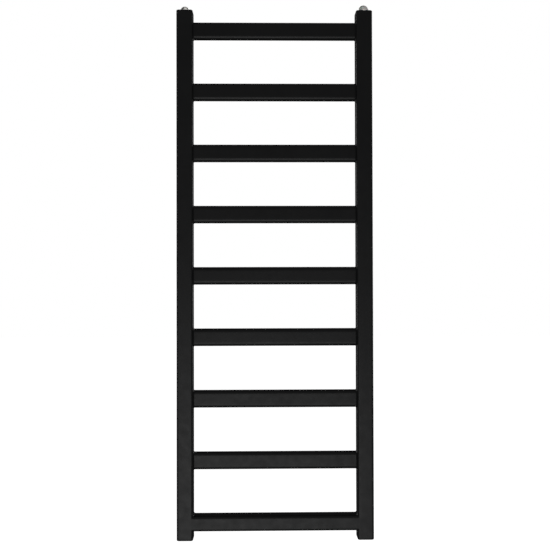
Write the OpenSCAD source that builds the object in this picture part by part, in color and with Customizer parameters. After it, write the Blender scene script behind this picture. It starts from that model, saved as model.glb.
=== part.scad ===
// Towel warmer rack: a wall-hung ladder radiator for a hot water system.
// Two square posts carry flat rungs and a square bottom rail. Each post has a threaded plate at both
// ends: a vent and a plug close the upper two, and the lower two take the water pipes. Four pins on
// the posts' backs slide in four sockets on the wall, and a grub screw locks each pin.
// X runs across the rack, +Y points into the wall and +Z is up. The origin is on the wall, at the
// centre of the four wall screws. All sizes are in millimetres.

/* [Rack] */
// Height of the posts, with their end plates
rack_h = 1200; // [1000:10:1500]
// Width over the outsides of the posts
rack_w = 445; // [360:5:600]
// Number of flat rungs above the bottom rail
rung_count = 8; // [5:1:9]
// Drop of the top rung's centre below the posts' upper ends
top_drop = 45; // [38:1:90]
// Rise of the bottom rail's centre above the posts' lower ends
rail_rise = 38; // [36:1:90]

/* [Tubes] */
// Width of a post across the front
post_w = 37; // [30:1:45]
// Depth of a post and of the bottom rail, from front to back
post_d = 35; // [30:1:45]
// Wall of the posts and of the bottom rail
post_wall = 2; // [1.5:0.1:2.5]
// Outer corner radius of the posts
post_corner = 5; // [3:0.5:6]
// Height of the bottom rail's face
rail_h = 35; // [28:1:42]
// Outer corner radius of the bottom rail
rail_corner = 7; // [4:0.5:8]
// Height of a rung's face
rung_h = 40; // [30:1:50]
// Depth of a rung, from front to back
rung_d = 18; // [14:1:24]
// Wall of the rungs
rung_wall = 1.5; // [1.2:0.1:2]
// Outer corner radius of the rungs
rung_corner = 8.5; // [4:0.5:10]
// Step between a rung's inner wall and the edge of its water port in the post
port_step = 4; // [3:0.5:5]

/* [End plates] */
// Thickness of the plate that closes a post
plate_t = 4; // [3:0.5:5]
// Bevel around the plate's outer edge
plate_bevel = 2.5; // [0.5:0.1:2.5]
// Wall of the threaded boss under the plate
boss_wall = 3; // [2:0.1:3.5]
// Length of the threaded hole, plate and boss together
thread_len = 14; // [12:1:20]
// Radius of the pipe thread over its crests
thread_r = 10.4775; // [8.331:G3/8, 10.4775:G1/2]

/* [Vent and plug] */
// Length of the shank that screws into the post
shank_len = 12; // [8:1:14]
// Radius of the flange on the vent and on the plug
flange_r = 12.5; // [12.2:0.1:14]
// Thickness of that flange
flange_t = 3; // [2.5:0.1:4]
// Thickness of the sealing ring under the flange
seal_t = 1.2; // [0.8:0.1:1.5]
// Width of the sealing ring's section
seal_w = 1.2; // [0.8:0.1:1.3]
// Radius of the vent's neck, on which the outlet collar turns
neck_r = 7; // [6.5:0.1:7.5]
// Radius of the outlet collar
collar_r = 10; // [9.5:0.1:10.5]
// Height of the outlet collar's place between flange and dome
collar_h = 7; // [6:0.1:8]
// Radius of the vent's dome
dome_r = 9.6; // [9:0.1:10.5]
// Height of the vent's dome
dome_h = 5.5; // [4:0.1:7]
// Radius of the well in the dome around the bleed screw's head
well_r = 4.2; // [4:0.1:4.6]
// Radius of the bleed screw's shank
bleed_r = 2.5; // [2:0.1:2.8]
// Width across the flats of the bleed screw's square head
bleed_square = 5; // [4:0.1:5]
// Radius of the plug's domed head
plug_r = 8.6; // [8:0.1:10]
// Height of the plug's head above its flange
plug_h = 8.5; // [6:0.1:10]
// Width across the flats of the plug's hexagon socket
plug_hex = 8; // [6:1:10]

/* [Wall fixings] */
// Distance from the wall to the posts' centres, at rest
wall_to_axis = 70; // [68:1:90]
// Adjustment of that distance, each way
wall_travel = 10; // [5:1:10]
// Distance of a wall pin from the nearest post end
fixing_inset = 110; // [60:5:200]
// Radius of the wall pin
pin_r = 6; // [5:0.5:6.5]
// Radius of the pin's threaded spigot
spigot_r = 4; // [3:0.5:5]
// Length of that spigot
spigot_len = 10; // [8:1:12]
// Wall of the blind bush that holds the spigot
bush_wall = 3; // [2:0.5:4]
// Outer radius of the wall socket
socket_r = 11; // [10.5:0.5:15]
// Thickness of the socket's floor, which the wall screw holds
floor_t = 8; // [6:0.5:10]
// Radius of the wall screw's hole
wall_hole_r = 3.25; // [2.5:0.25:4]
// Radius of the countersink for the wall screw's head
sink_r = 5.75; // [5:0.25:6]
// Depth of that countersink
sink_depth = 2.5; // [2:0.25:5]
// Radius of the grub screw
grub_r = 2.5; // [2:0.5:3]
// Width across the flats of the grub screw's hexagon socket
grub_hex = 2.5; // [2:0.5:3]
// Distance of the grub screw's axis from the socket's open end
grub_inset = 6; // [4:0.5:8]

/* [Clearances] */
// Radial gap of a plug, vent or water pipe thread in its hole
thread_gap = 0.07; // [0.05:0.01:0.1]
// Radial gap of a part that turns or slides on another
running_gap = 0.06; // [0.03:0.01:0.09]
// End gap of a part that turns between two faces
end_gap = 0.15; // [0.1:0.05:0.3]
// Gap between the grub screw's point and the pin
point_gap = 0.3; // [0.3:0.05:0.5]
// Depth of the grub screw's end under the socket's outside
grub_sink = 0.5; // [0.2:0.1:1]
// Gap left between post and socket, and between pin and floor, at the closest setting
stop_gap = 2; // [1:0.5:4]

/* [Hidden] */
$fn = 64;
rung_names = [for (i = [1 : rung_count]) str("rung_", i)];
LEFT = -1;
RIGHT = 1;
LOW = -1;
HIGH = 1;
over = 1; // how far a cutting shape runs past the face it cuts
narrow_flat = 1; // least flat left on a rung's narrow side
black = [0.09, 0.09, 0.10];
nickel = [0.70, 0.70, 0.68];
zinc = [0.60, 0.61, 0.62];
brass = [0.72, 0.58, 0.30];
rubber = [0.05, 0.05, 0.05];
pale_plastic = [0.80, 0.80, 0.79];

// the ladder
half_h = rack_h / 2;
post_x = (rack_w - post_w) / 2;
axis_y = -wall_to_axis;
rung_len = rack_w - 2 * post_w;
top_rung_z = half_h - top_drop;
rail_z = rail_rise - half_h;
rung_pitch = (top_rung_z - rail_z) / rung_count;
rung_radius = min(rung_corner, (rung_d - narrow_flat) / 2);
port_w = rung_d - 2 * (rung_wall + port_step);
port_h = rung_h - 2 * (rung_wall + port_step);
rail_port_r = (min(rail_h, post_d) - 2 * (post_wall + port_step)) / 2;

// the ends of the posts
hole_r = thread_r + thread_gap;
boss_r = hole_r + boss_wall;

// the vent, with heights over the post's end
seal_r = thread_r + end_gap;
neck_top = flange_t + collar_h;
dome_top = neck_top + dome_h;
spigot_step = 2; // step in from the neck to the spigot that holds the dome
spigot_rise = 2.2; // how far that spigot stands into the dome
spigot_top = neck_top + spigot_rise;
bleed_hole_r = bleed_r + running_gap;
seat_deep = 1; // how far the bleed screw's seat lies under the flange's top
bleed_seat = flange_t - seat_deep;
bleed_passage_r = 1;
vent_spigot_r = neck_r - spigot_step;
groove_h = 1.6;
groove_deep = 1;
spout_r = 1.8;
spout_reach = 1.5;
spout_hole_r = 0.8;
slot_w = 1;
slot_deep = 1.2;
socket_deep = 7;

// the wall fixings, with lengths from the wall
fixing_z = half_h - fixing_inset;
post_back = axis_y + post_d / 2;
closest = -post_back - wall_travel;
socket_len = closest - stop_gap;
pin_len = closest - floor_t - stop_gap;
pin_bevel = 1;
socket_hole_r = pin_r + running_gap;
bush_r = spigot_r + thread_gap + bush_wall;
bush_spare = 1; // free depth past the spigot's end
bush_len = spigot_len + bush_spare + bush_wall;
grub_y = -(socket_len - grub_inset);
grub_hole_r = grub_r + running_gap;
grub_len = socket_r - grub_sink - pin_r - point_gap;
grub_socket_deep = 2.5;

// Radius of the ball whose cap has base radius r and height h.
function cap_ball(r, h) = (r * r + h * h) / (2 * h);

// Radius over the corners of a hexagon that is flats wide.
function hex_r(flats) = flats / 2 / cos(30);

// Height of rung i, counted from the top.
function rung_z(i) = top_rung_z - (i - 1) * rung_pitch;

// A rectangle with round corners.
module rounded_rect(w, d, r) {
    square([w - 2 * r, d], center = true);
    square([w, d - 2 * r], center = true);
    for (x = [-1, 1], y = [-1, 1])
        translate([x * (w / 2 - r), y * (d / 2 - r)])
            circle(r);
}

// A length of rectangular tube, upright.
module tube(w, d, r, wall, length) {
    linear_extrude(length)
        difference() {
            rounded_rect(w, d, r);
            rounded_rect(w - 2 * wall, d - 2 * wall, r - wall);
        }
}

// The tall oval cutter of a rung's water port, along X.
module port_cutter() {
    cut = post_wall + 2 * over;
    rotate([0, 90, 0]) {
        cube([port_h - port_w, port_w, cut], center = true);
        for (z = [-1, 1])
            translate([z * (port_h - port_w) / 2, 0, 0])
                cylinder(r = port_w / 2, h = cut, center = true);
    }
}

// A post: tube with a water port for every rung and for the rail, and two holes for the pin bushes.
module post(side) {
    inner_wall_x = side * (post_x - post_w / 2 + post_wall / 2);
    color(black)
        difference() {
            translate([side * post_x, axis_y, plate_t - half_h])
                tube(post_w, post_d, post_corner, post_wall, rack_h - 2 * plate_t);
            for (i = [1 : rung_count])
                translate([inner_wall_x, axis_y, rung_z(i)])
                    port_cutter();
            translate([inner_wall_x, axis_y, rail_z])
                rotate([0, 90, 0])
                    cylinder(r = rail_port_r, h = post_wall + 2 * over, center = true);
            for (end = [LOW, HIGH])
                translate([side * post_x, post_back - post_wall - over, end * fixing_z])
                    rotate([-90, 0, 0])
                        cylinder(r = bush_r, h = post_wall + 2 * over);
        }
}

// A flat rung, welded between the posts.
module rung(i) {
    color(black)
        translate([-rung_len / 2, axis_y, rung_z(i)])
            rotate([0, 90, 0])
                tube(rung_h, rung_d, rung_radius, rung_wall, rung_len);
}

// The bottom rail: square tube with rounder corners than the posts', flush with their fronts.
module bottom_rail() {
    color(black)
        translate([-rung_len / 2, axis_y, rail_z])
            rotate([0, 90, 0])
                tube(rail_h, post_d, rail_corner, post_wall, rung_len);
}

// A bevelled slab, w long across X, with its top at z = 0. It runs on along Y.
module bevel_mask(w, along) {
    rotate([90, 0, 0])
        translate([0, 0, -along])
            linear_extrude(2 * along)
                polygon([
                    [-w / 2, -plate_t], [w / 2, -plate_t], [w / 2, -plate_bevel],
                    [w / 2 - plate_bevel, 0], [plate_bevel - w / 2, 0], [-w / 2, -plate_bevel]]);
}

// The plate that closes a post, with its threaded boss. Its outer face is at z = 0.
module end_plate() {
    color(black)
        difference() {
            union() {
                intersection() {
                    translate([0, 0, -plate_t])
                        linear_extrude(plate_t)
                            rounded_rect(post_w, post_d, post_corner);
                    bevel_mask(post_w, post_d);
                    rotate([0, 0, 90])
                        bevel_mask(post_d, post_w);
                }
                // the boss runs on to the middle of the plate
                translate([0, 0, -thread_len])
                    cylinder(r = boss_r, h = thread_len - plate_t / 2);
            }
            translate([0, 0, -thread_len - over])
                cylinder(r = hole_r, h = thread_len + 2 * over);
        }
}

module top_plate(side) {
    translate([side * post_x, axis_y, half_h])
        end_plate();
}

module bottom_plate(side) {
    translate([side * post_x, axis_y, -half_h])
        mirror([0, 0, 1])
            end_plate();
}

// Half outline of shank and flange, shared by vent and plug: a step under the flange holds the seal.
module screwed_base() {
    translate([0, -shank_len])
        square([thread_r, shank_len + flange_t]);
    translate([0, seal_t])
        square([flange_r, flange_t - seal_t]);
    translate([seal_r + seal_w + end_gap, 0])
        square([flange_r - seal_r - seal_w - end_gap, flange_t]);
}

// Half outline of a dome of radius r and height h on z = base.
module dome_outline(r, h, base) {
    intersection() {
        translate([0, base + h - cap_ball(r, h)])
            circle(cap_ball(r, h));
        translate([0, base])
            square([r, h + over]);
    }
}

// The vent's body: shank, flange, neck for the collar, and the bleed screw's seat.
module vent_body() {
    color(nickel)
        translate([post_x, axis_y, half_h])
            difference() {
                rotate_extrude() {
                    screwed_base();
                    square([neck_r, neck_top]);
                    square([vent_spigot_r, spigot_top]);
                }
                translate([0, 0, bleed_seat])
                    cylinder(r = bleed_hole_r, h = spigot_top);
                translate([0, 0, -shank_len - over])
                    cylinder(r = bleed_passage_r, h = shank_len + flange_t);
                translate([0, 0, flange_t + collar_h / 2])
                    rotate([0, 90, 0])
                        cylinder(r = spout_hole_r, h = neck_r + over);
            }
}

// A sealing ring under a flange.
module seal(side) {
    color(rubber)
        translate([side * post_x, axis_y, half_h])
            rotate_extrude()
                translate([seal_r, 0])
                    square([seal_w, seal_t]);
}

// The outlet collar: it turns on the neck to point its spout away from the wall.
module vent_collar() {
    middle = flange_t + collar_h / 2;
    color(pale_plastic)
        translate([post_x, axis_y, half_h])
            difference() {
                union() {
                    translate([0, 0, flange_t + end_gap])
                        cylinder(r = collar_r, h = collar_h - 2 * end_gap);
                    translate([0, 0, middle])
                        rotate([0, 90, 0])
                            cylinder(r = spout_r, h = collar_r + spout_reach);
                }
                translate([0, 0, flange_t])
                    cylinder(r = neck_r + running_gap, h = collar_h);
                translate([0, 0, middle - groove_h / 2])
                    cylinder(r = neck_r + groove_deep, h = groove_h);
                translate([0, 0, middle])
                    rotate([0, 90, 0])
                        cylinder(r = spout_hole_r, h = collar_r + spout_reach + over);
            }
}

// The dome that keeps the collar on its neck.
module vent_dome() {
    color(nickel)
        translate([post_x, axis_y, half_h])
            difference() {
                rotate_extrude()
                    dome_outline(dome_r, dome_h, neck_top);
                translate([0, 0, neck_top - over])
                    cylinder(r = vent_spigot_r, h = spigot_top - neck_top + over);
                translate([0, 0, neck_top])
                    cylinder(r = well_r, h = dome_h + over);
            }
}

// The bleed screw: a cone that closes the seat, a shank and a square head with a slot.
module bleed_screw() {
    cone_h = 1;
    cone_tip_r = 1.3;
    head_z = spigot_top + end_gap;
    color(brass)
        translate([post_x, axis_y, half_h])
            difference() {
                union() {
                    translate([0, 0, bleed_seat + end_gap])
                        cylinder(r1 = cone_tip_r, r2 = bleed_r, h = cone_h);
                    translate([0, 0, bleed_seat + end_gap + cone_h])
                        cylinder(r = bleed_r, h = head_z - bleed_seat - end_gap - cone_h);
                    translate([-bleed_square / 2, -bleed_square / 2, head_z])
                        cube([bleed_square, bleed_square, dome_top - head_z]);
                }
                translate([-slot_w / 2, -bleed_square, dome_top - slot_deep])
                    cube([slot_w, 2 * bleed_square, slot_deep + over]);
            }
}

// The plug: the same shank and flange, with a domed head and a hexagon socket.
module plug() {
    dome_part = plug_h / 2;
    color(nickel)
        translate([-post_x, axis_y, half_h])
            difference() {
                rotate_extrude() {
                    screwed_base();
                    square([plug_r, flange_t + plug_h - dome_part]);
                    dome_outline(plug_r, dome_part, flange_t + plug_h - dome_part);
                }
                translate([0, 0, flange_t + plug_h - socket_deep])
                    cylinder(r = hex_r(plug_hex), h = socket_deep + over, $fn = 6);
            }
}

// Puts its children at the four wall fixings, with their +Z pointing away from the wall.
module at_fixings(y) {
    for (side = [LEFT, RIGHT], end = [LOW, HIGH])
        translate([side * post_x, y, end * fixing_z])
            rotate([90, 0, 0])
                children();
}

// The blind bushes, welded into the posts' backs flush with them and coated with the ladder.
module pin_bushes() {
    color(black)
        at_fixings(post_back)
            difference() {
                cylinder(r = bush_r, h = bush_len);
                translate([0, 0, -over])
                    cylinder(r = spigot_r + thread_gap, h = bush_len - bush_wall + over);
            }
}

// The wall pins, screwed into the bushes.
module wall_pins() {
    color(zinc)
        at_fixings(post_back) {
            cylinder(r = spigot_r, h = spigot_len);
            translate([0, 0, pin_bevel - pin_len])
                cylinder(r = pin_r, h = pin_len - pin_bevel);
            translate([0, 0, -pin_len])
                cylinder(r1 = pin_r - pin_bevel, r2 = pin_r, h = pin_bevel);
        }
}

// The wall sockets: a barrel for the pin, with a hole in its floor for the wall screw and one in its
// side for the grub screw.
module wall_sockets() {
    color(black)
        at_fixings(0)
            difference() {
                cylinder(r = socket_r, h = socket_len);
                translate([0, 0, floor_t])
                    cylinder(r = socket_hole_r, h = socket_len);
                translate([0, 0, -over])
                    cylinder(r = wall_hole_r, h = floor_t + 2 * over);
                translate([0, 0, floor_t - sink_depth])
                    cylinder(r1 = wall_hole_r, r2 = sink_r, h = sink_depth);
                translate([0, 0, -grub_y])
                    rotate([90, 0, 0])
                        cylinder(r = grub_hole_r, h = socket_r + over);
            }
}

// A grub screw, in the underside of its socket.
module grub_screw(side, end) {
    low_z = end * fixing_z - socket_r + grub_sink;
    color(zinc)
        translate([side * post_x, grub_y, low_z])
            difference() {
                cylinder(r = grub_r, h = grub_len);
                translate([0, 0, -over])
                    cylinder(r = hex_r(grub_hex), h = grub_socket_deep + over, $fn = 6);
            }
}

post(LEFT);  // left_post
post(RIGHT);  // right_post
for (i = [1 : rung_count])
    rung(i);
bottom_rail();
top_plate(LEFT);  // left_top_plate
top_plate(RIGHT);  // right_top_plate
bottom_plate(LEFT);  // left_bottom_plate
bottom_plate(RIGHT);  // right_bottom_plate
vent_body();
seal(RIGHT);  // vent_seal
vent_collar();
vent_dome();
bleed_screw();
plug();
seal(LEFT);  // plug_seal
pin_bushes();
wall_pins();
wall_sockets();
grub_screw(LEFT, HIGH);  // grub_upper_left
grub_screw(RIGHT, HIGH);  // grub_upper_right
grub_screw(LEFT, LOW);  // grub_lower_left
grub_screw(RIGHT, LOW);  // grub_lower_right
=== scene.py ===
import math

import bmesh
import bpy
from mathutils import Matrix, Vector


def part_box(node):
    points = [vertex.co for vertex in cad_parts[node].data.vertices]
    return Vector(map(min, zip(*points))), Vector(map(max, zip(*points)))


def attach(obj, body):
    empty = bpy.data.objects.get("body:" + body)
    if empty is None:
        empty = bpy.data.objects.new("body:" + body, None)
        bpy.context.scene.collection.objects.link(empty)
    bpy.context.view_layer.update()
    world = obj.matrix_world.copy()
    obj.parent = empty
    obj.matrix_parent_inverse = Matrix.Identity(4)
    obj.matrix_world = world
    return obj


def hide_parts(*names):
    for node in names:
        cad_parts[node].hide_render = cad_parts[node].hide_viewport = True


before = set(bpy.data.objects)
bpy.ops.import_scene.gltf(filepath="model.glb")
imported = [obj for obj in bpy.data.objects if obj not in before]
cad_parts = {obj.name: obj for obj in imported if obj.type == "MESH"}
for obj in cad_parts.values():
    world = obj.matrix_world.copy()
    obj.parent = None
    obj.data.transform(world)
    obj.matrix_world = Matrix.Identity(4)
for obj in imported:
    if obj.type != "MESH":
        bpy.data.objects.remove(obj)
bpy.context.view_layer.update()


# The two posts
# Each is a length of square steel tube with rolled corners, cut square at both ends. Its inner face
# has a tall oval water port behind every rung, and its back has two round holes for the pin bushes.

POST_CORNER = 0.005
TUBE_WALL = 0.002
SEAM = 0.00025  # the small break on an edge that a plate is welded to
PORT = (0.029, 0.007)  # height and width of a rung's water port
RAIL_PORT = 0.023  # width of the bottom rail's round water port
BUSH_RADIUS = 0.00707
GRUB_DROP = 0.0105  # from a pin's axis down to the outer end of its grub screw
CUT_OVER = 0.001  # how far a cutting shape runs past the face it cuts
POST_RING_STEP = 0.070  # distance between two rings of a post's mesh
RUNGS = [f"rung_{number}" for number in range(1, 9)]


def node(tree, kind, sockets=None, **settings):
    """A new node, with each socket linked to an output or set to a value."""
    made = tree.nodes.new(kind)
    for name, value in settings.items():
        setattr(made, name, value)
    for socket, value in (sockets or {}).items():
        if isinstance(value, bpy.types.NodeSocket):
            tree.links.new(value, made.inputs[socket])
        else:
            made.inputs[socket].default_value = value
    return made


def new_finish(name, same_all_over):
    """A material, its node tree and its shader, with the sockets that are the same all over set."""
    finish = bpy.data.materials.new(name)
    finish.use_nodes = True
    shader = finish.node_tree.nodes["Principled BSDF"]
    for socket, value in same_all_over.items():
        shader.inputs[socket].default_value = value
    return finish, finish.node_tree, shader


def spread(tree, value, low, high, start=0.3, end=0.7):
    """value, which runs from start to end, brought to the range from low to high."""
    sockets = {"Value": value, "From Min": start, "From Max": end, "To Min": low, "To Max": high}
    return node(tree, "ShaderNodeMapRange", sockets).outputs["Result"]


def product(tree, first, second):
    return node(tree, "ShaderNodeMath", {0: first, 1: second}, operation="MULTIPLY").outputs[0]


def blended(tree, share, first, second):
    """The colour that is first where share is 0 and second where it is 1."""
    mix = node(tree, "ShaderNodeMix", {0: share, 6: first, 7: second}, data_type="RGBA")
    return mix.outputs[2]


def grain(tree, place, per_metre, detail=2.0):
    """A fine uneven pattern with about per_metre grains in a metre."""
    sockets = {"Vector": place, "Scale": per_metre, "Detail": detail}
    return node(tree, "ShaderNodeTexNoise", sockets).outputs["Fac"]


def relief(tree, height, depth, under=None):
    """Bumps depth metres deep where height runs from 0 to 1, on top of the bumps under them."""
    sockets = {"Height": height, "Distance": depth, "Strength": 1.0}
    if under is not None:
        sockets["Normal"] = under
    return node(tree, "ShaderNodeBump", sockets).outputs["Normal"]


def powder_coat():
    """Baked black powder: satin, with a fine orange peel, and thinner and smoother on the edges."""
    coat, tree, shader = new_finish("black_powder_coat", {"IOR": 1.5})
    place = node(tree, "ShaderNodeTexCoord").outputs["Object"]
    peel = grain(tree, place, 1000)
    patch = grain(tree, place, 60, 4)
    drift = grain(tree, place, 9, 3)
    edge = node(tree, "ShaderNodeAttribute", attribute_name="edge").outputs["Fac"]
    worn = product(tree, spread(tree, edge, 0, 1, 0.2, 1), spread(tree, patch, 0.3, 1))
    body = blended(tree, spread(tree, drift, 0, 1), (0.0115, 0.0118, 0.0128, 1), (0.0170, 0.0173, 0.0182, 1))
    colour = blended(tree, product(tree, worn, 0.5), body, (0.030, 0.030, 0.031, 1))
    even = spread(tree, patch, 0.35, 0.45)
    rough = node(tree, "ShaderNodeMath", {0: even, 1: product(tree, worn, 0.06)}, operation="SUBTRACT")
    waves = relief(tree, grain(tree, place, 22), 0.00006)
    tree.links.new(colour, shader.inputs["Base Color"])
    tree.links.new(rough.outputs[0], shader.inputs["Roughness"])
    tree.links.new(relief(tree, peel, 0.00003, waves), shader.inputs["Normal"])
    return coat


def rounded_outline(width, depth, radius, arc_steps=8, side_steps=6):
    """Points (a, b, edge) round a rectangle with round corners. Edge is 1 in mid-corner, 0 on a side."""
    arcs = []
    for side_a, side_b, start in ((1, 1, 0), (-1, 1, 90), (-1, -1, 180), (1, -1, 270)):
        middle = (side_a * (width / 2 - radius), side_b * (depth / 2 - radius))
        arc = []
        for step in range(arc_steps + 1):
            angle = math.radians(start + 90 * step / arc_steps)
            edge = math.sin(math.pi * step / arc_steps)
            arc.append((middle[0] + radius * math.cos(angle), middle[1] + radius * math.sin(angle), edge))
        arcs.append(arc)
    points = []
    for arc, following in zip(arcs, arcs[1:] + arcs[:1]):
        points += arc
        (a, b, _), (next_a, next_b, _) = arc[-1], following[0]
        for step in range(1, side_steps):
            share = step / side_steps
            points.append((a + (next_a - a) * share, b + (next_b - b) * share, 0.0))
    return points


def skin(name, rings, closed=False, capped=False):
    """An object whose surface joins rings of (x, y, z, edge) points, all with the same number of points."""
    bm = bmesh.new()
    edge_layer = bm.verts.layers.float.new("edge")
    rows = []
    for ring in rings:
        row = []
        for x, y, z, edge in ring:
            vertex = bm.verts.new((x, y, z))
            vertex[edge_layer] = edge
            row.append(vertex)
        rows.append(row)
    for row, following in zip(rows, rows[1:] + (rows[:1] if closed else [])):
        for here in range(len(row)):
            there = (here + 1) % len(row)
            bm.faces.new((row[here], row[there], following[there], following[here]))
    if capped:
        bm.faces.new(rows[0][::-1])
        bm.faces.new(rows[-1])
    bmesh.ops.remove_doubles(bm, verts=bm.verts, dist=1e-7)
    bmesh.ops.recalc_face_normals(bm, faces=bm.faces)
    mesh = bpy.data.meshes.new(name)
    bm.to_mesh(mesh)
    bm.free()
    made = bpy.data.objects.new(name, mesh)
    bpy.context.scene.collection.objects.link(made)
    return made


def combine(target, tool, operation):
    """Cuts tool out of target, or unites the two."""
    step = target.modifiers.new(operation.lower(), "BOOLEAN")
    step.operation = operation
    step.solver = "EXACT"
    step.object = tool
    result = bpy.data.meshes.new_from_object(target.evaluated_get(bpy.context.evaluated_depsgraph_get()))
    target.modifiers.clear()
    target.data = result
    bpy.data.objects.remove(tool)
    return target


def joined(name, parts):
    """One object made of several."""
    bm = bmesh.new()
    for part in parts:
        part.data.transform(part.matrix_basis)
        bm.from_mesh(part.data)
        bpy.data.objects.remove(part)
    mesh = bpy.data.meshes.new(name)
    bm.to_mesh(mesh)
    bm.free()
    made = bpy.data.objects.new(name, mesh)
    bpy.context.scene.collection.objects.link(made)
    return made


def surface(made, finish, crease=38):
    """Gives a piece its finish and smooth shading, with flat faces flat and creases sharp."""
    made.data.materials.clear()
    made.data.materials.append(finish)
    made.data.shade_smooth()
    made.data.set_sharp_from_angle(angle=math.radians(crease))
    weighting = made.modifiers.new("flat_faces", "WEIGHTED_NORMAL")
    weighting.keep_sharp = True
    return made


def spaced(start, end, step):
    """Even places from start to end, about step apart."""
    count = max(1, round(abs(end - start) / step))
    return [start + (end - start) * index / count for index in range(count + 1)]


def tube_rings(width, depth, corner, wall, stations, place):
    """Rings along the outside of a tube and back along its inside. A station is (distance, inset)."""
    rings = []
    for distance, inset in stations:
        outline = rounded_outline(width - 2 * inset, depth - 2 * inset, corner - inset)
        rings.append([(*place(a, b, distance), edge) for a, b, edge in outline])
    for distance, _ in reversed(stations):
        outline = rounded_outline(width - 2 * wall, depth - 2 * wall, corner - wall)
        rings.append([(*place(a, b, distance), 0.0) for a, b, _ in outline])
    return rings


def along_x_port(name, height, width, radius, x_from, x_to, centre):
    """The cutter of a water port, which runs along X."""
    outline = rounded_outline(height, width, radius, 8, 2)
    rings = [[(x, centre.y + b, centre.z + a, 0.0) for a, b, _ in outline] for x in (x_from, x_to)]
    return skin(name, rings, capped=True)


def middle_of(name):
    low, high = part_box(name)
    return (low + high) / 2


black_coat = powder_coat()
post_low, post_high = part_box("right_post")
post_centre = (post_low + post_high) / 2
POST_WIDTH = post_high.x - post_low.x
POST_DEPTH = post_high.y - post_low.y
pin_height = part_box("grub_upper_right")[0].z + GRUB_DROP
pin_places = [
    Vector((side * post_centre.x, 0, end * pin_height))
    for side in (-1, 1)
    for end in (-1, 1)
]

for side, name in ((-1, "left_post"), (1, "right_post")):
    heights = spaced(post_low.z + SEAM, post_high.z - SEAM, POST_RING_STEP)
    stations = [(post_low.z, SEAM), *((z, 0.0) for z in heights), (post_high.z, SEAM)]
    place = lambda a, b, z: (side * post_centre.x + a, post_centre.y + b, z)
    rings = tube_rings(POST_WIDTH, POST_DEPTH, POST_CORNER, TUBE_WALL, stations, place)
    post = skin(f"{name}_tube", rings, closed=True)
    x_from = side * (post_low.x - CUT_OVER)
    x_to = side * (post_low.x + TUBE_WALL + CUT_OVER)
    cutters = []
    for rung in RUNGS:
        centre = middle_of(rung)
        cutters.append(along_x_port("port", PORT[0], PORT[1], PORT[1] / 2, x_from, x_to, centre))
    centre = middle_of("bottom_rail")
    cutters.append(along_x_port("rail_port", RAIL_PORT, RAIL_PORT, RAIL_PORT / 2, x_from, x_to, centre))
    for pin in pin_places:
        if pin.x * side > 0:
            ring = rounded_outline(2 * BUSH_RADIUS, 2 * BUSH_RADIUS, BUSH_RADIUS, 16, 1)
            depths = (post_high.y - TUBE_WALL - CUT_OVER, post_high.y + CUT_OVER)
            rings = [[(pin.x + a, y, pin.z + b, 0.0) for a, b, _ in ring] for y in depths]
            cutters.append(skin("bush_hole", rings, capped=True))
    combine(post, joined("post_holes", cutters), "DIFFERENCE")
    surface(post, black_coat)
    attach(post, "rack")
    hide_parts(name)


# The end plates
# A square steel plate closes each end of a post, welded on and ground flush. It carries a turned boss
# inside the tube with a right-hand G1/2 thread: 14 turns to the inch, cut 1.16 mm deep.

PLATE = 0.004
PLATE_ROUND = 0.0028
PLATE_FLAT = 0.0036  # how far the flat of the plate starts inside its edge
BOSS_LENGTH = 0.014
BOSS_RADIUS = 0.01355
THREAD_HOLE = 0.01055
PIPE_PITCH = 0.0254 / 14
PIPE_DEPTH = 0.00116
THREAD_LEAD_IN = 0.0008
HOLE_LAND = 0.0006  # width of the plain ring round the threaded hole
CREST_SHARE = 0.08  # how much of a thread's half pitch its crest takes, and its root as much again
ROWS_PER_TURN = 8
QUARTER_TURNS = [math.radians(15 * step) for step in range(7)]


def thread_form(pitch, depth):
    """Turns a plain radius, the thread's crest or root furthest from the axis, into a helix."""

    def form(radius, angle, z):
        phase = (z / pitch - angle / (2 * math.pi)) % 1
        slope = abs(2 * phase - 1)
        flank = min(1.0, max(0.0, (slope - CREST_SHARE) / (1 - 2 * CREST_SHARE)))
        return radius - depth * flank

    form.row = pitch / ROWS_PER_TURN
    return form


def end_plate(name):
    """A plate with its outer face at z = 0 and its threaded boss below."""
    outline = rounded_outline(POST_WIDTH, POST_DEPTH, POST_CORNER, 8, 12)
    angles = [math.atan2(b, a) for a, b, _ in outline]

    def square_ring(inset, z, wear):
        corner = POST_CORNER - inset
        points = rounded_outline(POST_WIDTH - 2 * inset, POST_DEPTH - 2 * inset, corner, 8, 12)
        return [(a, b, z, max(edge, wear)) for a, b, edge in points]

    def round_ring(radius, z, wear=0.0):
        return [(radius * math.cos(angle), radius * math.sin(angle), z, wear) for angle in angles]

    rings = [square_ring(SEAM, -PLATE, 0.0), square_ring(0.0, SEAM - PLATE, 0.0)]
    for turn in QUARTER_TURNS:
        inset = PLATE_ROUND * (1 - math.cos(turn))
        rings.append(square_ring(inset, PLATE_ROUND * (math.sin(turn) - 1), math.sin(2 * turn)))
    lead_top = THREAD_HOLE + THREAD_LEAD_IN / 2
    rings += [square_ring(PLATE_FLAT, 0.0, 0.0), round_ring(lead_top + HOLE_LAND, 0.0)]
    helix = thread_form(PIPE_PITCH, PIPE_DEPTH)
    for z in spaced(0.0, -BOSS_LENGTH, helix.row):
        from_face = min(-z, z + BOSS_LENGTH)
        lead_in = lead_top - from_face
        ring = [max(helix(THREAD_HOLE, angle, z), lead_in) for angle in angles]
        rings.append([(r * math.cos(a), r * math.sin(a), z, 0.0) for r, a in zip(ring, angles)])
    rings.append(round_ring(BOSS_RADIUS - SEAM, -BOSS_LENGTH, 0.5))
    rings.append(round_ring(BOSS_RADIUS, SEAM - BOSS_LENGTH, 0.5))
    rings.append(round_ring(BOSS_RADIUS, -PLATE))
    return skin(name, rings, closed=True)


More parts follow.
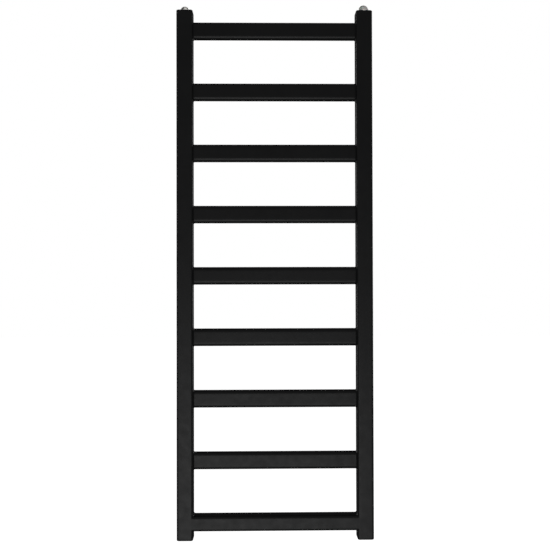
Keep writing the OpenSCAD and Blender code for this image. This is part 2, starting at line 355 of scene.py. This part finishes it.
for side, side_name in ((-1, "left"), (1, "right")):
    for end, end_name in ((1, "top"), (-1, "bottom")):
        plate = end_plate(f"{side_name}_{end_name}_end")
        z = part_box(f"{side_name}_{end_name}_plate")[1 if end > 0 else 0].z
        plate.location = (side * post_centre.x, post_centre.y, z)
        if end < 0:
            plate.rotation_euler = (math.pi, 0, 0)
        surface(plate, black_coat)
        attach(plate, "rack")
        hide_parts(f"{side_name}_{end_name}_plate")


# The rungs and their welds
# Eight lengths of flat tube, 40 by 18 mm with broad rolled edges, stand between the posts. A thin
# weld bead runs all the way round each end, with the faint ripples that the torch leaves.

RUNG_CORNER = 0.0085
RUNG_WALL = 0.0015
WELD_LEG = 0.0022
WELD_RIPPLE = 0.0042  # length of one ripple along the bead
RIPPLE_DEPTH = 0.04  # how much a ripple adds to the bead's leg, as a share of it
UNEVEN = (0.4, 400)  # strength of the bead's slower unevenness, and its radians in a metre
BEAD_HOLLOW = 2.1  # how hollow the bead's face is; 1 would be flat
BURIED = 0.0004  # how far a bead reaches into the steel under it
RUNG_RING_STEP = 0.025


def outward(outline):
    """The direction that points away from an outline at each of its points."""
    ways = []
    for index in range(len(outline)):
        before, after = outline[index - 1], outline[(index + 1) % len(outline)]
        along = Vector((after[0] - before[0], after[1] - before[1])).normalized()
        ways.append(Vector((along.y, -along.x)))
    return ways


def weld_bead(name, outline, face_x, way, centre, leg_at):
    """A bead round the end of a tube that meets a post's face at face_x; way is +1 or -1 along X."""
    rings = []
    travelled = 0.0
    previous = outline[-1]
    for point, out in zip(outline, outward(outline)):
        travelled += math.dist(point[:2], previous[:2])
        previous = point
        ripple = math.sin(2 * math.pi * travelled / WELD_RIPPLE)
        ripple += UNEVEN[0] * math.sin(UNEVEN[1] * travelled + 1)
        leg = leg_at(out) * (1 + RIPPLE_DEPTH * ripple)
        section = [(leg, -BURIED)]
        for turn in QUARTER_TURNS:
            section.append((leg * math.cos(turn) ** BEAD_HOLLOW, leg * math.sin(turn) ** BEAD_HOLLOW))
        section += [(-BURIED, leg), (-BURIED, -BURIED)]
        ring = []
        for off, along in section:
            a = point[0] + out.x * off
            b = point[1] + out.y * off
            ring.append((face_x + way * along, centre.y + b, centre.z + a, 0.3))
        rings.append(ring)
    return skin(name, rings, closed=True)


for name in RUNGS:
    low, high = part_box(name)
    centre = (low + high) / 2
    stations = [(x, 0.0) for x in spaced(low.x, high.x, RUNG_RING_STEP)]
    place = lambda a, b, x: (x, centre.y + b, centre.z + a)
    rings = tube_rings(high.z - low.z, high.y - low.y, RUNG_CORNER, RUNG_WALL, stations, place)
    rung = skin(f"{name}_tube", rings, closed=True)
    surface(rung, black_coat)
    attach(rung, "rack")
    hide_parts(name)
    outline = rounded_outline(high.z - low.z, high.y - low.y, RUNG_CORNER, 28, 44)
    ends = [
        weld_bead("bead", outline, low.x, 1, centre, lambda out: WELD_LEG),
        weld_bead("bead", outline, high.x, -1, centre, lambda out: WELD_LEG),
    ]
    welds = joined(f"{name}_welds", ends)
    surface(welds, black_coat, 60)
    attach(welds, "rack")


# The bottom rail
# A length of square tube with rounder corners than the posts'. Its front and back are level with
# theirs, so there the welds are filled up and ground flat, while above and below they stay as beads.

RAIL_CORNER = 0.007
RAIL_WELD_LEG = 0.0024
RAIL_WELD_LEAST = 0.00005  # what is left of the leg where the bead is ground
FILL_STEPS = 8
GROUND_OFF = 0.00007  # how far under the rail's faces its beads end where they are ground

low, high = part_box("bottom_rail")
centre = (low + high) / 2
stations = [(x, 0.0) for x in spaced(low.x, high.x, RUNG_RING_STEP)]
place = lambda a, b, x: (x, centre.y + b, centre.z + a)
rings = tube_rings(high.z - low.z, high.y - low.y, RAIL_CORNER, TUBE_WALL, stations, place)
rail = skin("bottom_rail_tube", rings, closed=True)
surface(rail, black_coat)
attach(rail, "rack")
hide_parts("bottom_rail")


def ground_fill(name, face_x, way, front):
    """Weld metal that fills the groove beside a post's round corner, level with post and rail.
    Front is -1 for the rack's front and +1 for its back."""
    half = (high.z - low.z) / 2
    level = centre.y + front * POST_DEPTH / 2
    last_turn = math.acos(1 - POST_CORNER / RAIL_CORNER)
    rows = []
    for step in range(-FILL_STEPS - 1, FILL_STEPS + 2):
        turn = last_turn * max(0, abs(step) - 1) / FILL_STEPS
        sunk = RAIL_CORNER * (1 - math.cos(turn))
        up = half - RAIL_CORNER + RAIL_CORNER * math.sin(turn) if abs(step) > 0 else 0.0
        z = centre.z + math.copysign(up, step)
        reach = math.sqrt(max(0.0, POST_CORNER**2 - (POST_CORNER - sunk) ** 2))
        post_x = face_x - way * (POST_CORNER - reach)
        y = level - front * sunk
        hidden = level - front * (POST_CORNER + BURIED)
        edge = math.sin(2 * turn)
        rows.append(
            [
                (face_x, y, z, edge),
                ((face_x + post_x) / 2, y, z, edge),
                (post_x, y, z, edge),
                (face_x - way * BURIED, hidden, z, 0.0),
                (face_x + way * BURIED, hidden, z, 0.0),
            ]
        )
    return skin(name, rows, capped=True)


ground = [size - 2 * GROUND_OFF for size in (high.z - low.z, high.y - low.y)]
outline = rounded_outline(*ground, RAIL_CORNER - GROUND_OFF, 12, 26)
parts = []
for face_x, way in ((low.x, 1), (high.x, -1)):
    leg_at = lambda out: max(RAIL_WELD_LEAST, RAIL_WELD_LEG * abs(out.x) ** 4)
    parts.append(weld_bead("bead", outline, face_x, way, centre, leg_at))
    for front in (-1, 1):
        parts.append(ground_fill("fill", face_x, way, front))
welds = joined("bottom_rail_welds", parts)
surface(welds, black_coat, 60)
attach(welds, "rack")


# The vent
# A turned and nickel-plated brass body screws into the right post. A pale plastic collar with a spout
# turns on its neck, a plated dome keeps it there, and a brass screw in the middle opens the way out.

ROUND_STEPS = 4
SHANK = 0.012
SHANK_RADIUS = 0.0104775
FLANGE = 0.003
FLANGE_RADIUS = 0.0125
SEAL_SPACE = (0.0106275, 0.0118275)  # inner and outer radius of a seal
SEAL_HEIGHT = 0.0012
SEAL_ROUND = 0.0004
NECK_RADIUS = 0.007
NECK_TOP = 0.010
SPIGOT_RADIUS = 0.005
SPIGOT_TOP = 0.0122
BLEED_HOLE = 0.00256
BLEED_SEAT = 0.002
PASSAGE = 0.001
DOME_RADIUS = 0.0096
DOME_TOP = 0.0155
DOME_EDGE = 0.0006  # height of the dome's upright rim
ARC_STEP = 0.0005
WELL_RADIUS = 0.0042
COLLAR_RADIUS = 0.010
COLLAR_HOLE = 0.00706
COLLAR = (0.00315, 0.00985)  # heights of its lower and upper face
COLLAR_GROOVE = 0.008
SPOUT_RADIUS = 0.0018
SPOUT_HOLE = 0.0008
SPOUT_REACH = 0.0115
SPOUT_ROOT = 0.0085  # where the spout starts inside the collar's wall
SPOUT_HOLE_START = 0.0075
SPOUT_HEIGHT = 0.0065
BLEED_RADIUS = 0.0025
BLEED_HEAD = 0.01235
BLEED_POINT = 0.0013
SEAT_GAP = 0.00015
SLOT = (0.001, 0.0012)  # width and depth of the bleed screw's slot
SLOT_HALF_LENGTH = 0.005


def knurl_form(ribs, depth):
    """Straight ribs round a turned part."""
    return lambda radius, angle, z: radius - depth * (0.5 - 0.5 * math.cos(ribs * angle)) ** 0.7


def polygon_form(sides):
    """A polygon whose flats are radius away from the axis."""
    step = 2 * math.pi / sides
    return lambda radius, angle, z: radius / math.cos(angle % step - step / 2)


def turned(name, corners, sides=96, closed=True):
    """A turned part round Z. A corner is (radius, z, rounding) or (radius, z, rounding, form)."""
    points = []
    for index, (radius, z, rounding, *form) in enumerate(corners):
        form = form[0] if form else None
        here = Vector((radius, z))
        if rounding == 0:
            points.append((here, 0.0, form))
            continue
        before = Vector(corners[index - 1][:2])
        after = Vector(corners[(index + 1) % len(corners)][:2])
        start = here + (before - here).normalized() * rounding
        end = here + (after - here).normalized() * rounding
        # Inner corners get a negative edge, which the nickel and plastic finishes darken as painted shade;
        # outer corners get a positive edge for wear.
        raised = 1 if (here - before).cross(after - here) > 0 else -1
        for step in range(ROUND_STEPS + 1):
            share = step / ROUND_STEPS
            point = start.lerp(here, share).lerp(here.lerp(end, share), share)
            points.append((point, raised * math.sin(math.pi * share), form))
    rings = []
    for (point, edge, form), (following, _, next_form) in zip(points, points[1:] + points[:1]):
        levels = [point]
        row = getattr(form, "row", None)
        if row and form is next_form:
            count = max(1, round((following - point).length / row))
            levels = [point.lerp(following, step / count) for step in range(count)]
        for level in levels:
            ring = []
            for step in range(sides):
                angle = 2 * math.pi * step / sides
                radius = form(level.x, angle, level.y) if form else level.x
                ring.append((radius * math.cos(angle), radius * math.sin(angle), level.y, edge))
            rings.append(ring)
    return skin(name, rings, closed=closed)


def turning_marks(tree, place, per_metre):
    """Fine rings round Z, as a lathe tool leaves them."""
    sockets = {"Vector": place, "Scale": per_metre, "Distortion": 0.6, "Detail": 2.0, "Detail Scale": 3.0}
    wave = node(tree, "ShaderNodeTexWave", sockets, wave_type="RINGS", rings_direction="Z")
    return wave.outputs["Fac"]


def nickel():
    """Satin nickel over turned brass, with fine tool marks, faint handling haze and painted shade in its
    inner corners.
    """
    plate, tree, shader = new_finish("nickel_plate", {"Metallic": 1.0})
    place = node(tree, "ShaderNodeTexCoord").outputs["Object"]
    haze = grain(tree, place, 260, 4)
    edge = node(tree, "ShaderNodeAttribute", attribute_name="edge").outputs["Fac"]
    # Painted shade: in the inner corners of a turned part, where edge is negative, the colour is darkened
    # towards dark brown.
    inner_corner_shade = spread(tree, edge, 1, 0, -1, -0.1)
    warm = blended(tree, spread(tree, haze, 0, 1), (0.66, 0.64, 0.60, 1), (0.73, 0.72, 0.70, 1))
    colour = blended(tree, product(tree, inner_corner_shade, 0.6), warm, (0.22, 0.20, 0.17, 1))
    tree.links.new(colour, shader.inputs["Base Color"])
    tree.links.new(spread(tree, haze, 0.24, 0.38), shader.inputs["Roughness"])
    tree.links.new(relief(tree, turning_marks(tree, place, 700), 0.000004), shader.inputs["Normal"])
    return plate


def pale_plastic():
    """Moulded acetal: a little translucent, with a fine spark-eroded grain and painted shade in its inner
    corners.
    """
    plastic, tree, shader = new_finish(
        "pale_plastic", {"IOR": 1.48, "Subsurface Weight": 0.15, "Subsurface Scale": 0.0006}
    )
    place = node(tree, "ShaderNodeTexCoord").outputs["Object"]
    mottle = grain(tree, place, 400, 3)
    edge = node(tree, "ShaderNodeAttribute", attribute_name="edge").outputs["Fac"]
    # Painted shade: in the inner corners of a turned part, where edge is negative, the colour is darkened
    # towards grey-brown.
    inner_corner_shade = spread(tree, edge, 1, 0, -1, -0.1)
    body = blended(tree, spread(tree, mottle, 0, 1), (0.74, 0.74, 0.72, 1), (0.82, 0.82, 0.80, 1))
    colour = blended(tree, product(tree, inner_corner_shade, 0.5), body, (0.35, 0.34, 0.31, 1))
    tree.links.new(colour, shader.inputs["Base Color"])
    tree.links.new(spread(tree, mottle, 0.34, 0.46), shader.inputs["Roughness"])
    tree.links.new(relief(tree, grain(tree, place, 4000), 0.000012), shader.inputs["Normal"])
    return plastic


def brass():
    """Bare turned brass, a little dulled by handling."""
    metal, tree, shader = new_finish("bare_brass", {"Metallic": 1.0})
    place = node(tree, "ShaderNodeTexCoord").outputs["Object"]
    stain = grain(tree, place, 700, 4)
    colour = blended(tree, spread(tree, stain, 0, 1), (0.48, 0.31, 0.12, 1), (0.78, 0.58, 0.27, 1))
    tree.links.new(colour, shader.inputs["Base Color"])
    tree.links.new(spread(tree, stain, 0.42, 0.22), shader.inputs["Roughness"])
    tree.links.new(relief(tree, turning_marks(tree, place, 1500), 0.000004), shader.inputs["Normal"])
    return metal


def rubber():
    """Black nitrile rubber, matt, with a fine moulded grain."""
    ring, tree, shader = new_finish("black_rubber", {"IOR": 1.5})
    place = node(tree, "ShaderNodeTexCoord").outputs["Object"]
    bloom = grain(tree, place, 500, 4)
    colour = blended(tree, spread(tree, bloom, 0, 1), (0.016, 0.016, 0.016, 1), (0.034, 0.034, 0.033, 1))
    tree.links.new(colour, shader.inputs["Base Color"])
    tree.links.new(spread(tree, bloom, 0.55, 0.70), shader.inputs["Roughness"])
    tree.links.new(relief(tree, grain(tree, place, 3000), 0.00001), shader.inputs["Normal"])
    return ring


def fit_on(made, finish, body, replaced, place):
    made.location = place
    surface(made, finish)
    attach(made, body)
    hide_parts(replaced)


def threaded_base(pipe):
    """Corners of shank, seal step and knurled flange, from the shank's end to the flange's top."""
    grip = knurl_form(36, 0.00035)
    lip = SEAL_SPACE[1] + 0.00015
    return [
        (SHANK_RADIUS - 0.0013, -SHANK, 0.0),
        (SHANK_RADIUS, 0.0013 - SHANK, 0.0, pipe),
        (SHANK_RADIUS, -0.0005, 0.0, pipe),
        (SHANK_RADIUS - PIPE_DEPTH, 0.0, 0.0),
        (SHANK_RADIUS - PIPE_DEPTH, SEAL_HEIGHT, 0.0),
        (lip, SEAL_HEIGHT, 0.0),
        (lip, 0.0, 0.0),
        (FLANGE_RADIUS - 0.0003, 0.0, 0.0),
        (FLANGE_RADIUS, 0.0003, 0.0, grip),
        (FLANGE_RADIUS, FLANGE - 0.0005, 0.0, grip),
        (FLANGE_RADIUS - 0.0005, FLANGE, 0.00015),
    ]


nickel_plate = nickel()
black_rubber = rubber()
pipe_thread = thread_form(PIPE_PITCH, PIPE_DEPTH)
vent_place = Vector((post_centre.x, post_centre.y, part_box("right_top_plate")[1].z))

corners = [
    *threaded_base(pipe_thread),
    (NECK_RADIUS, FLANGE, 0.0002),
    (NECK_RADIUS, NECK_TOP, 0.0002),
    (SPIGOT_RADIUS, NECK_TOP, 0.0001),
    (SPIGOT_RADIUS, SPIGOT_TOP, 0.0002),
    (BLEED_HOLE, SPIGOT_TOP, 0.0001),
    (BLEED_HOLE, BLEED_SEAT, 0.0),
    (PASSAGE, BLEED_SEAT, 0.0),
    (PASSAGE, -SHANK, 0.0),
]
vent_body = turned("vent_shank_and_neck", corners, 144)
fit_on(vent_body, nickel_plate, "rack", "vent_body", vent_place)


def seal_ring(name):
    """A ring of square rubber cord, rounded by its squeeze."""
    inner, outer = SEAL_SPACE
    corners = [
        (inner, 0, SEAL_ROUND),
        (outer, 0, SEAL_ROUND),
        (outer, SEAL_HEIGHT, SEAL_ROUND),
        (inner, SEAL_HEIGHT, SEAL_ROUND),
    ]
    return turned(name, corners)


fit_on(seal_ring("vent_seal_ring"), black_rubber, "rack", "vent_seal", vent_place)

ribs = knurl_form(24, 0.00045)
corners = [
    (COLLAR_HOLE, COLLAR[0], 0.0002),
    (COLLAR_RADIUS - 0.0006, COLLAR[0], 0.0002),
    (COLLAR_RADIUS, COLLAR[0] + 0.0007, 0.0003, ribs),
    (COLLAR_RADIUS, COLLAR[1] - 0.0007, 0.0003, ribs),
    (COLLAR_RADIUS - 0.0006, COLLAR[1], 0.0002),
    (COLLAR_HOLE, COLLAR[1], 0.0002),
    (COLLAR_HOLE, SPOUT_HEIGHT + SPOUT_HOLE, 0.0),
    (COLLAR_GROOVE, SPOUT_HEIGHT + SPOUT_HOLE, 0.0),
    (COLLAR_GROOVE, SPOUT_HEIGHT - SPOUT_HOLE, 0.0),
    (COLLAR_HOLE, SPOUT_HEIGHT - SPOUT_HOLE, 0.0),
]
collar = turned("outlet_collar", corners, 144)
corners = [
    (0, SPOUT_ROOT, 0.0),
    (SPOUT_RADIUS + 0.0005, SPOUT_ROOT, 0.0),
    (SPOUT_RADIUS + 0.0001, COLLAR_RADIUS, 0.0003),
    (SPOUT_RADIUS, SPOUT_REACH, 0.0004),
    (0, SPOUT_REACH, 0.0),
]
spout = turned("spout", corners, 40, closed=False)
corners = [
    (0, SPOUT_HOLE_START, 0.0),
    (SPOUT_HOLE, SPOUT_HOLE_START, 0.0),
    (SPOUT_HOLE, SPOUT_REACH - 0.0003, 0.0),
    (SPOUT_HOLE + 0.0004, SPOUT_REACH + 0.0002, 0.0),
    (0, SPOUT_REACH + 0.0002, 0.0),
]
hole = turned("spout_hole", corners, 32, closed=False)
for tool in (spout, hole):
    tool.data.transform(Matrix.Translation((0, 0, SPOUT_HEIGHT)) @ Matrix.Rotation(math.pi / 2, 4, "Y"))
combine(collar, spout, "UNION")
combine(collar, hole, "DIFFERENCE")
fit_on(collar, pale_plastic(), "vent_collar", "vent_collar", vent_place)


def domed(rim, height, top, inner):
    """Corners of a dome whose sphere is top high, from its rim in to the radius inner."""
    ball = (rim**2 + height**2) / (2 * height)
    radii = spaced(rim, inner, ARC_STEP)
    return [(radius, top - ball + math.sqrt(ball**2 - radius**2), 0.0) for radius in radii]


dome_height = DOME_TOP - NECK_TOP - DOME_EDGE
dome_arc = domed(DOME_RADIUS, dome_height, DOME_TOP, WELL_RADIUS + 0.0003)
corners = [
    (SPIGOT_RADIUS, NECK_TOP, 0.0001),
    (DOME_RADIUS, NECK_TOP, 0.0002),
    *dome_arc,
    (WELL_RADIUS, dome_arc[-1][1] - 0.0003, 0.0),
    (WELL_RADIUS, SPIGOT_TOP, 0.0001),
    (SPIGOT_RADIUS, SPIGOT_TOP, 0.0001),
]
fit_on(turned("vent_cap", corners), nickel_plate, "rack", "vent_dome", vent_place)

screw_thread = thread_form(0.0006, 0.00025)
four_sided = polygon_form(4)
corners = [
    (0, BLEED_SEAT + SEAT_GAP, 0.0),
    (BLEED_POINT, BLEED_SEAT + SEAT_GAP, 0.0),
    (BLEED_RADIUS, BLEED_SEAT + 0.00115, 0.0),
    (BLEED_RADIUS, BLEED_SEAT + 0.0016, 0.0, screw_thread),
    (BLEED_RADIUS, SPIGOT_TOP - 0.001, 0.0, screw_thread),
    (BLEED_RADIUS, BLEED_HEAD, 0.0),
    (BLEED_RADIUS, BLEED_HEAD, 0.0, four_sided),
    (BLEED_RADIUS, DOME_TOP - 0.0003, 0.0, four_sided),
    (BLEED_RADIUS - 0.0003, DOME_TOP, 0.0, four_sided),
    (0, DOME_TOP, 0.0),
]
bleed_screw = turned("bleed_key_screw", corners, 64, closed=False)
slot_signs = ((-1, -1), (1, -1), (1, 1), (-1, 1))
slot_outline = [(a * SLOT_HALF_LENGTH, b * SLOT[0] / 2) for a, b in slot_signs]
slot_rings = [[(b, a, z, 0.0) for a, b in slot_outline] for z in (DOME_TOP - SLOT[1], DOME_TOP + CUT_OVER)]
combine(bleed_screw, skin("slot", slot_rings, capped=True), "DIFFERENCE")
fit_on(bleed_screw, brass(), "bleed_screw", "bleed_screw", vent_place)


# The plug
# The same plated shank and flange close the left post, under a turned dome with a socket for an 8 mm
# hexagon key. A rubber ring in the step under the flange seals it.

PLUG_RADIUS = 0.0086
PLUG_TOP = 0.0115
PLUG_SHOULDER = 0.00725
PLUG_DOME_END = 0.0055  # radius at which the dome stops beside the socket
PLUG_HEX = 0.008
PLUG_SOCKET_FLOOR = 0.0045
PLUG_SOCKET_CONE = 0.0012  # depth of the drill's cone under the socket's floor

plug_place = Vector((-post_centre.x, post_centre.y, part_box("left_top_plate")[1].z))
six_sided = polygon_form(6)
plug_arc = domed(PLUG_RADIUS, PLUG_TOP - PLUG_SHOULDER, PLUG_TOP, PLUG_DOME_END)
corners = [
    (0, -SHANK, 0.0),
    *threaded_base(pipe_thread),
    (PLUG_RADIUS, FLANGE, 0.0003),
    *plug_arc,
    (PLUG_HEX / 2 + 0.0008, plug_arc[-1][1] + 0.0001, 0.0),
    (PLUG_HEX / 2 + 0.0003, plug_arc[-1][1] - 0.0001, 0.0, six_sided),
    (PLUG_HEX / 2, plug_arc[-1][1] - 0.0005, 0.0, six_sided),
    (PLUG_HEX / 2, PLUG_SOCKET_FLOOR, 0.0, six_sided),
    (0, PLUG_SOCKET_FLOOR - PLUG_SOCKET_CONE, 0.0),
]
plug = turned("blanking_plug", corners, 144, closed=False)
fit_on(plug, nickel_plate, "rack", "plug", plug_place)
fit_on(seal_ring("plug_seal_ring"), black_rubber, "rack", "plug_seal", plug_place)


# The wall fixings
# Each post's back holds two blind steel bushes. A turned pin screws into each, and slides in a socket
# that a wall screw holds to the wall. A grub screw in the socket's underside locks the pin.

PIN_RADIUS = 0.006
PIN_LENGTH = 0.0325
SPIGOT = (0.004, 0.010)  # radius and length
BUSH_LENGTH = 0.014
BUSH_HOLE = (0.00407, 0.011)  # radius and depth
SOCKET_RADIUS = 0.011
SOCKET_LENGTH = 0.0405
SOCKET_HOLE = 0.00606
SOCKET_FLOOR = 0.008
WALL_HOLE = 0.00325
SINK = (0.00575, 0.0025)  # radius and depth of the countersink for the wall screw
GRUB_RADIUS = 0.0025
GRUB_HOLE = 0.00256
GRUB_Y = 0.0345
GRUB_LENGTH = 0.0042
GRUB_HEX = (0.0025, 0.0025)  # width across flats and depth
GRUBS = ("grub_upper_left", "grub_upper_right", "grub_lower_left", "grub_lower_right")
away_from_wall = Matrix.Rotation(math.pi / 2, 4, "X")


def zinc():
    """Bright zinc plate on turned steel, clouded and faintly blue."""
    plate, tree, shader = new_finish("zinc_plate", {"Metallic": 1.0})
    place = node(tree, "ShaderNodeTexCoord").outputs["Object"]
    cloud = grain(tree, place, 180, 5)
    edge = node(tree, "ShaderNodeAttribute", attribute_name="edge").outputs["Fac"]
    body = blended(tree, spread(tree, cloud, 0, 1), (0.45, 0.47, 0.50, 1), (0.62, 0.62, 0.60, 1))
    colour = blended(tree, spread(tree, edge, 0, 0.5, 0.2, 1), body, (0.75, 0.75, 0.74, 1))
    sockets = {"Vector": place, "Scale": 900.0, "Distortion": 0.5, "Detail": 2.0}
    marks = node(tree, "ShaderNodeTexWave", sockets, wave_type="BANDS", bands_direction="Y")
    tree.links.new(colour, shader.inputs["Base Color"])
    tree.links.new(spread(tree, cloud, 0.26, 0.42), shader.inputs["Roughness"])
    tree.links.new(relief(tree, marks.outputs["Fac"], 0.000006), shader.inputs["Normal"])
    return plate


def at_each_pin(name, made, y):
    """Four of the same part, one at each wall fixing, with their Z pointing away from the wall."""
    copies = []
    for pin in pin_places:
        copy = made.copy()
        copy.data = made.data.copy()
        copy.matrix_basis = Matrix.Translation((pin.x, y, pin.z)) @ away_from_wall
        bpy.context.scene.collection.objects.link(copy)
        copies.append(copy)
    bpy.data.objects.remove(made)
    return joined(name, copies)


zinc_plate = zinc()
coarse_thread = thread_form(0.00125, 0.0007)
corners = [
    (BUSH_HOLE[0] + 0.0004, 0.0, 0.0),
    (BUSH_RADIUS - SEAM, 0.0, 0.0),
    (BUSH_RADIUS, SEAM, 0.0),
    (BUSH_RADIUS, BUSH_LENGTH, 0.0005),
    (0, BUSH_LENGTH, 0.0),
    (0, BUSH_HOLE[1] + 0.001, 0.0),
    (BUSH_HOLE[0] - 0.0007, BUSH_HOLE[1], 0.0),
    (BUSH_HOLE[0], BUSH_HOLE[1] - 0.0005, 0.0, coarse_thread),
    (BUSH_HOLE[0], 0.0004, 0.0, coarse_thread),
]
bushes = at_each_pin("bushes_in_posts", turned("bush", corners, 64), post_high.y)
surface(bushes, black_coat)
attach(bushes, "rack")
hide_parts("pin_bushes")

corners = [
    (0, -PIN_LENGTH, 0.0),
    (PIN_RADIUS - 0.001, -PIN_LENGTH, 0.0003),
    (PIN_RADIUS, 0.001 - PIN_LENGTH, 0.0004),
    (PIN_RADIUS, 0.0, 0.0003),
    (SPIGOT[0] - 0.0007, 0.0, 0.0),
    (SPIGOT[0], 0.0006, 0.0, coarse_thread),
    (SPIGOT[0], SPIGOT[1] - 0.0008, 0.0, coarse_thread),
    (SPIGOT[0] - 0.0008, SPIGOT[1], 0.0),
    (0, SPIGOT[1], 0.0),
]
pins = at_each_pin("sliding_pins", turned("pin", corners, 64, closed=False), post_high.y)
surface(pins, zinc_plate)
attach(pins, "rack")
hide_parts("wall_pins")

corners = [
    (WALL_HOLE, 0.0, 0.0002),
    (SOCKET_RADIUS, 0.0, 0.0004),
    (SOCKET_RADIUS, SOCKET_LENGTH, 0.0010),
    (SOCKET_HOLE, SOCKET_LENGTH, 0.0004),
    (SOCKET_HOLE, SOCKET_FLOOR, 0.0),
    (SINK[0], SOCKET_FLOOR, 0.0),
    (WALL_HOLE, SOCKET_FLOOR - SINK[1], 0.0),
]
socket = turned("socket", corners, 96)
corners = [
    (0, 0.0, 0.0),
    (GRUB_HOLE, 0.0, 0.0),
    (GRUB_HOLE, SOCKET_RADIUS - 0.0004, 0.0),
    (GRUB_HOLE + 0.0014, SOCKET_RADIUS + CUT_OVER, 0.0),
    (0, SOCKET_RADIUS + CUT_OVER, 0.0),
]
hole = turned("grub_hole", corners, 48, closed=False)
hole.data.transform(Matrix.Translation((0, 0, GRUB_Y)) @ Matrix.Rotation(math.pi / 2, 4, "X"))
combine(socket, hole, "DIFFERENCE")
sockets = at_each_pin("sockets_on_wall", socket, 0.0)
surface(sockets, black_coat)
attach(sockets, "wall_sockets")
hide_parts("wall_sockets")

fine_thread = thread_form(0.0008, 0.0004)
corners = [
    (0, GRUB_HEX[1], 0.0),
    (GRUB_HEX[0] / 2, GRUB_HEX[1] - 0.0004, 0.0, six_sided),
    (GRUB_HEX[0] / 2, 0.0002, 0.0, six_sided),
    (GRUB_HEX[0] / 2 + 0.0002, 0.0, 0.0, six_sided),
    (GRUB_RADIUS - 0.0005, 0.0, 0.0),
    (GRUB_RADIUS, 0.0004, 0.0, fine_thread),
    (GRUB_RADIUS, GRUB_LENGTH - 0.0009, 0.0, fine_thread),
    (GRUB_RADIUS - 0.0009, GRUB_LENGTH, 0.0),
    (0, GRUB_LENGTH, 0.0),
]
for name in GRUBS:
    place = middle_of(name)
    place.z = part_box(name)[0].z
    grub = turned(f"{name}_screw", corners, 48, closed=False)
    fit_on(grub, zinc_plate, name, name, place)


# The studio
# A pale floor and white surroundings. The satin coat mirrors one low soft box in front, more and more
# towards the bottom. Two boxes serve the views of the back, and two light the bright fittings alone.

FLOOR_Z = -1.55
FLOOR_REACH = 20.0
AWAY = 1.7245  # from the posts' fronts to the camera
CAMERA_Z = -0.0216
TILT = 0.65  # this, ROLL and YAW are in degrees
ROLL = 0.13
YAW = 0.9  # how far the camera stands to the left, round the rack
LENS = 50


def soft_box(name, place, aim, width, height, brightness, only_on=()):
    """An even rectangular light whose face has that brightness, with white as 1. With only_on it is
    shaded off everything else."""
    lamp = bpy.data.lights.new(name, "AREA")
    lamp.shape = "RECTANGLE"
    lamp.size = width
    lamp.size_y = height
    lamp.energy = brightness * math.pi * width * height
    box = bpy.data.objects.new(name, lamp)
    box.location = place
    box.rotation_euler = (Vector(aim) - Vector(place)).to_track_quat("-Z", "Y").to_euler()
    box.visible_camera = False
    bpy.context.scene.collection.objects.link(box)
    if only_on:
        lit = bpy.data.collections.new(name)
        for piece in only_on:
            lit.objects.link(bpy.data.objects[piece])
        box.light_linking.receiver_collection = lit


def white_surroundings(in_front, behind):
    """Surroundings that look white, and that light the rack only as strongly as those two values."""
    world = bpy.data.worlds.new("surroundings")
    world.use_nodes = True
    tree = world.node_tree
    way = node(tree, "ShaderNodeTexCoord").outputs["Generated"]
    backwards = node(tree, "ShaderNodeSeparateXYZ", {"Vector": way}).outputs["Y"]
    unseen = spread(tree, backwards, in_front, behind, -0.4, 0.4)
    sight = node(tree, "ShaderNodeLightPath").outputs["Is Camera Ray"]
    strength = spread(tree, sight, unseen, 1.0, 0, 1)
    background = tree.nodes["Background"]
    background.inputs["Color"].default_value = (1, 1, 1, 1)
    tree.links.new(strength, background.inputs["Strength"])
    bpy.context.scene.world = world


def pale_floor():
    """A bright studio floor. It is bright enough to look white and lights nothing itself."""
    corners = [(x * FLOOR_REACH, y * FLOOR_REACH, FLOOR_Z) for x, y in ((-1, -1), (1, -1), (1, 1), (-1, 1))]
    sheet = bpy.data.meshes.new("floor")
    sheet.from_pydata(corners, [], [(0, 1, 2, 3)])
    floor = bpy.data.objects.new("floor", sheet)
    bpy.context.scene.collection.objects.link(floor)
    paint, _, shader = new_finish("studio_white", {"Roughness": 0.9})
    shader.inputs["Base Color"].default_value = (0.8, 0.8, 0.8, 1)
    shader.inputs["Emission Color"].default_value = (1, 1, 1, 1)
    shader.inputs["Emission Strength"].default_value = 1.0
    floor.data.materials.append(paint)
    floor.visible_diffuse = False
    floor.visible_glossy = False
    floor.visible_shadow = False


pale_floor()
white_surroundings(0.10, 0.02)
soft_box("low_front_box", (-0.25, -3.0, -1.50), (0, -0.07, 0), 2.0, 2.1, 1.02)
soft_box("back_left_box", (-2.4, 1.9, 0.5), (0, 0, 0), 1.4, 2.4, 1.5)
soft_box("back_right_box", (2.4, 1.9, 0.5), (0, 0, 0), 1.4, 2.4, 1.5)
BRIGHT_PIECES = [
    "vent_shank_and_neck",
    "vent_cap",
    "outlet_collar",
    "bleed_key_screw",
    "blanking_plug",
    "sliding_pins",
    *(f"{name}_screw" for name in GRUBS),
]
soft_box("fittings_front_box", (0.3, -1.3, 1.7), (0, -0.07, 0.6), 2.4, 1.4, 1.0, BRIGHT_PIECES)
soft_box("fittings_back_box", (0.3, 1.6, 1.3), (0, -0.07, 0.6), 3.0, 2.0, 1.2, BRIGHT_PIECES)

lens = bpy.data.cameras.new("camera")
lens.lens = LENS
camera = bpy.data.objects.new("camera", lens)
camera.location = (-AWAY * math.sin(math.radians(YAW)), post_low.y - AWAY, CAMERA_Z)
camera.rotation_euler = (math.radians(90 + TILT), math.radians(ROLL), math.radians(-YAW))
bpy.context.scene.collection.objects.link(camera)
bpy.context.scene.camera = camera
bpy.context.scene.view_settings.view_transform = "Standard"
